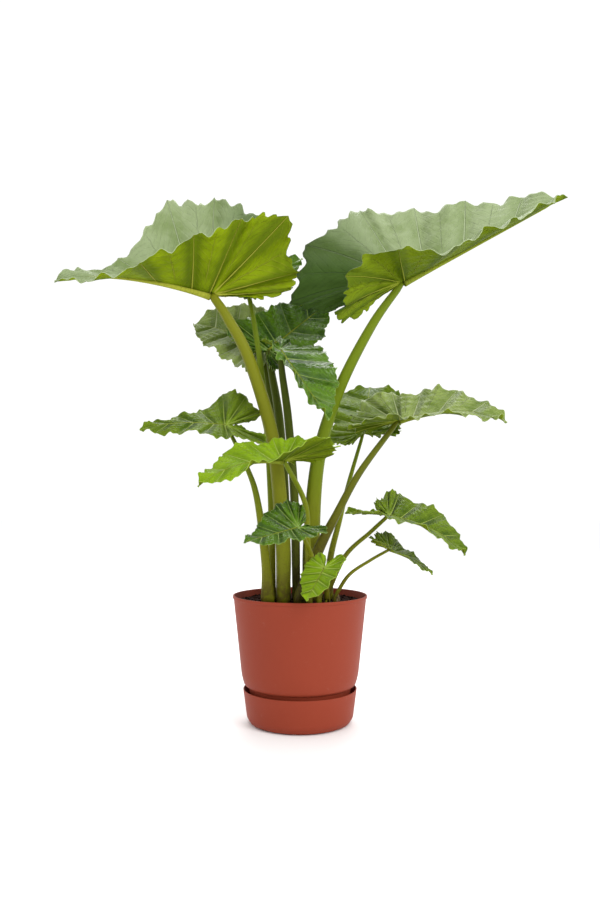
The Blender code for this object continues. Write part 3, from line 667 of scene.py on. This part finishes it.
def build_petiole(leaf, finish):
    """The stalk as a faintly ribbed tube, oval at the foot and rounder above."""
    route, foot = petiole_route(leaf)
    shape, place = sheet_grid(PETIOLE_COLUMNS, PETIOLE_ROWS)
    share = np.linspace(0, 1, PETIOLE_ROWS + 1)
    centre = smooth_path(route, np.maximum(share - 0.015, 0) / 0.985)
    centre[0] = foot
    direction = np.gradient(centre, axis=0)
    direction /= np.linalg.norm(direction, axis=1)[:, None]
    first = np.cross(direction, [0.0, 1.0, 0.0])
    first /= np.linalg.norm(first, axis=1)[:, None]
    second = np.cross(direction, first)
    radius = np.interp(share, (0, 0.5, 0.97, 1), (*leaf.radii, leaf.radii[2] * 0.75))
    index = np.rint(place[:, 1] * PETIOLE_ROWS).astype(int)
    angle = place[:, 0] * math.tau
    sheath = 0.16 * np.exp(-(share[index] / 0.12) ** 2) * np.cos(2 * angle + leaf.heading)
    size = radius[index] * (1 + sheath + 0.025 * np.cos(5 * angle + 3 * share[index]))
    points = centre[index] + size[:, None] * (np.cos(angle)[:, None] * first[index]
                                              + np.sin(angle)[:, None] * second[index])
    for vertex, point in zip(shape.verts, points):
        vertex.co = point
    shape.verts.index_update()
    fill_map(shape, "veins", place)
    bmesh.ops.remove_doubles(shape, verts=shape.verts, dist=0.00001)
    bmesh.ops.holes_fill(shape, edges=[edge for edge in shape.edges if edge.is_boundary], sides=0)
    bmesh.ops.recalc_face_normals(shape, faces=shape.faces)
    add_piece("stalk_" + leaf.name, shape, "petiole_" + leaf.name, [finish])


# ---- pot, saucer, soil and stub ---------------------------------------------
def build_pot(finish):
    """Tapered pot with a banded rim, a rounded shoulder, a narrow neck and a foot."""
    shoulder, neck, foot = RIM_RADIUS * 0.8644, RIM_RADIUS * 0.7525, RIM_RADIUS * 0.7186
    wall, band, floor = POT_WALL, RIM_BAND, POT_LOW.z
    corners = [(0.0, floor + 0.010), (foot - 0.006, floor + 0.010), (foot - 0.004, floor), (foot, floor),
               (neck, NECK_HEIGHT), (shoulder - 0.006, 0.0830), (shoulder, SHOULDER_HEIGHT),
               (RIM_RADIUS - 0.0019, POT_TOP - band - 0.001), (RIM_RADIUS, POT_TOP - band),
               (RIM_RADIUS, POT_TOP), (RIM_RADIUS - wall, POT_TOP), (shoulder - wall, SHOULDER_HEIGHT),
               (neck - wall, NECK_HEIGHT), (foot - wall, floor + 0.014), (0.0, floor + 0.014)]
    radii = [0, 0.001, 0.001, 0.002, 0.002, 0.012, 0.010, 0.0006,
             0.0008, 0.0012, 0.0012, 0.01, 0.004, 0.002, 0]
    add_piece("turned_pot", turned(rounded(corners, radii)), "pot", [finish])


def build_saucer(finish):
    """Deep round saucer that the pot's foot stands in."""
    rim, foot, base = SAUCER_RADIUS, SAUCER_RADIUS * 0.9315, SAUCER_RADIUS * 0.8387
    wall, top = SAUCER_WALL, SAUCER_HIGH.z
    corners = [(0.0, 0.0), (base, 0.0), (foot, SAUCER_FOOT_HEIGHT), (rim, top), (rim - wall, top),
               (foot - wall, SAUCER_FOOT_HEIGHT), (foot - wall - 0.003, 0.0030), (0.0, 0.0030)]
    radii = [0, 0.006, 0.008, 0.0012, 0.0012, 0.004, 0.003, 0]
    add_piece("turned_saucer", turned(rounded(corners, radii)), "saucer", [finish])


def build_soil(finish):
    """A lumpy fill with loose crumbs of bark and peat lying on it."""
    rng = random.Random(7)
    radius = SOIL_HIGH.x
    rings = [(radius * share, SOIL_TOP - 0.001) for share in np.linspace(0.0, 0.985, 44)]
    profile = rings + [(radius, SOIL_TOP - 0.006), (radius * 0.86, SOIL_TOP - 0.16), (0.0, SOIL_TOP - 0.16)]
    shape = turned(profile, steps=144)
    for vertex in shape.verts:
        if vertex.co.z > SOIL_TOP - 0.003:
            lump = noise.fractal(vertex.co * 45, 1.0, 2.0, 4)
            vertex.co.z += 0.0018 * lump
    for _ in range(CRUMBS):
        reach, turn = radius * 0.96 * math.sqrt(rng.random()), rng.uniform(0, math.tau)
        size = rng.choice(CRUMB_SIZES)
        made = bmesh.ops.create_icosphere(shape, subdivisions=1, radius=size)["verts"]
        stretch = Vector((rng.uniform(0.7, 1.6), rng.uniform(0.7, 1.3), rng.uniform(0.5, 0.9)))
        bmesh.ops.scale(shape, vec=stretch, verts=made)
        place = Vector((reach * math.cos(turn), reach * math.sin(turn), SOIL_TOP + size * 0.1))
        bmesh.ops.translate(shape, vec=place, verts=made)
    add_piece("potting_soil", shape, "soil", [finish])


def build_stub(finish):
    """The ragged dry end of a leaf that was cut away."""
    low, high = STUB_LOW, STUB_HIGH
    centre = (low + high) / 2
    shape, place = sheet_grid(28, 14)
    for vertex, (around, up) in zip(shape.verts, place):
        angle = around * math.tau
        torn = noise.noise(Vector((math.cos(angle) * 3, math.sin(angle) * 3, 5.0)))
        ragged = 1 - 0.22 * (0.5 + 0.5 * torn) * up
        layers = 1 + 0.07 * math.cos(9 * angle) + 0.05 * math.cos(4 * angle + 5 * up)
        size = (high.x - low.x) / 2 * (1 - 0.26 * up) * layers * 0.93
        if up > 0.95:
            size *= 0.72
            ragged *= 0.86
        vertex.co = (centre.x + size * math.cos(angle), centre.y + size * math.sin(angle),
                     low.z + (high.z - low.z) * up * ragged)
    shape.verts.index_update()
    fill_map(shape, "veins", place)
    bmesh.ops.remove_doubles(shape, verts=shape.verts, dist=0.00001)
    bmesh.ops.holes_fill(shape, edges=[edge for edge in shape.edges if edge.is_boundary], sides=0)
    bmesh.ops.recalc_face_normals(shape, faces=shape.faces)
    add_piece("dry_stub", shape, "old_stub", [finish])


# ---- studio -----------------------------------------------------------------
def build_studio():
    shape = bmesh.new()
    bmesh.ops.create_grid(shape, x_segments=1, y_segments=1, size=14.0)
    mesh = bpy.data.meshes.new("studio_floor")
    shape.to_mesh(mesh)
    shape.free()
    floor = bpy.data.objects.new("studio_floor", mesh)
    bpy.context.scene.collection.objects.link(floor)
    paint = Paint("pale studio floor")
    mesh.materials.append(paint.finish(base_color=(0.95, 0.95, 0.95), roughness=0.9, specular_ior_level=0.0))

    world = bpy.data.worlds.new("studio_world")
    world.use_nodes = True
    world.node_tree.nodes["Background"].inputs["Color"].default_value = (1.0, 1.0, 1.0, 1.0)
    world.node_tree.nodes["Background"].inputs["Strength"].default_value = 1.06
    bpy.context.scene.world = world

    lamp("key_light", (1.5, -1.9, 1.9), 1.5, 40)
    lamp("back_light", (0.1, 2.3, 3.3), 2.6, 75)


def lamp(name, place, size, power):
    data = bpy.data.lights.new(name, "AREA")
    data.shape = "DISK"
    data.size = size
    data.energy = power
    made = bpy.data.objects.new(name, data)
    made.location = place
    made.rotation_euler = (Vector((0, 0, 0.6)) - Vector(place)).to_track_quat("-Z", "Y").to_euler()
    bpy.context.scene.collection.objects.link(made)


def build_camera():
    data = bpy.data.cameras.new("camera")
    data.sensor_width = 36.0
    data.lens = 32.4
    camera = bpy.data.objects.new("camera", data)
    camera.location = (0.0, -1.80, 0.493)
    camera.rotation_euler = (math.radians(93.2), 0.0, 0.0)
    bpy.context.scene.collection.objects.link(camera)
    bpy.context.scene.camera = camera
    bpy.context.scene.view_settings.view_transform = "Standard"


# ---- everything -------------------------------------------------------------
def main():
    build_camera()
    build_studio()
    plastic = moulded_plastic("brick red plastic", (0.275, 0.044, 0.020), (0.235, 0.036, 0.016))
    build_pot(plastic)
    build_saucer(plastic)
    build_soil(soil_finish())
    build_stub(dry_sheath())
    upper = {
        # Broad tops: the pale grey-green colours are painted sheen, the reflection of the white surroundings,
        # and their lobes get painted shade.
        "broad": upper_side("broad leaf top", (0.195, 0.265, 0.095), (0.330, 0.405, 0.215),
                            (0.48, 0.57, 0.33), 0.50, 0.16, 0.06, 0.0045, 0.96),
        "matt": upper_side("matt leaf top", (0.110, 0.175, 0.014), (0.290, 0.375, 0.095), (0.44, 0.52, 0.22),
                           0.42, 0.16, 0.12, 0.0070),
        "old": upper_side("old leaf top", (0.022, 0.076, 0.001), (0.105, 0.225, 0.004), (0.28, 0.42, 0.08),
                          0.25, 0.32, 0.0, 0.0095),
        "fresh": upper_side("fresh leaf top", (0.060, 0.120, 0.002), (0.175, 0.265, 0.010),
                            (0.30, 0.40, 0.06), 0.42, 0.13, 0.04, 0.0075),
        "young": upper_side("young leaf top", (0.170, 0.300, 0.003), (0.265, 0.430, 0.008),
                            (0.40, 0.54, 0.08), 0.45, 0.12, 0.0, 0.0045),
    }
    lower = {
        "old": lower_side("old leaf underside", (0.090, 0.145, 0.001), (0.185, 0.260, 0.003),
                          (0.32, 0.38, 0.03), 0.28),
        "fresh": lower_side("fresh leaf underside", (0.135, 0.200, 0.001), (0.280, 0.380, 0.002),
                            (0.48, 0.50, 0.05), 0.34),
    }
    stalks = {
        "green": petiole_finish("green stalk", (0.115, 0.175, 0.004), (0.175, 0.185, 0.006),
                                (0.110, 0.088, 0.012), 0.11),
        "golden": petiole_finish("golden stalk", (0.165, 0.175, 0.006), (0.170, 0.185, 0.006),
                                 (0.110, 0.088, 0.012), 0.11),
        "dark": petiole_finish("dark stalk", (0.060, 0.085, 0.004), (0.080, 0.090, 0.006),
                               (0.050, 0.036, 0.008), 0.16),
        "brown": petiole_finish("brown stalk", (0.110, 0.130, 0.005), (0.095, 0.088, 0.005),
                                (0.050, 0.034, 0.008), 0.22),
    }
    tops = {"upper_left": "broad", "upper_right": "broad", "centre_left": "matt", "mid_right": "matt",
            "mid_left": "fresh", "young_front": "young", "front_bright": "young", "small_right": "fresh",
            "lower_right": "fresh", "back_right": "fresh"}
    stalk_of = {"upper_left": "golden", "mid_right": "brown", "centre_back": "dark",
                "centre_drooping": "dark", "centre_left": "dark"}
    for leaf in LEAVES:
        below = lower["fresh" if leaf.name == "upper_left" else "old"]
        build_blade(leaf, upper[tops.get(leaf.name, "old")], below)
        build_petiole(leaf, stalks[stalk_of.get(leaf.name, "green")])


main()
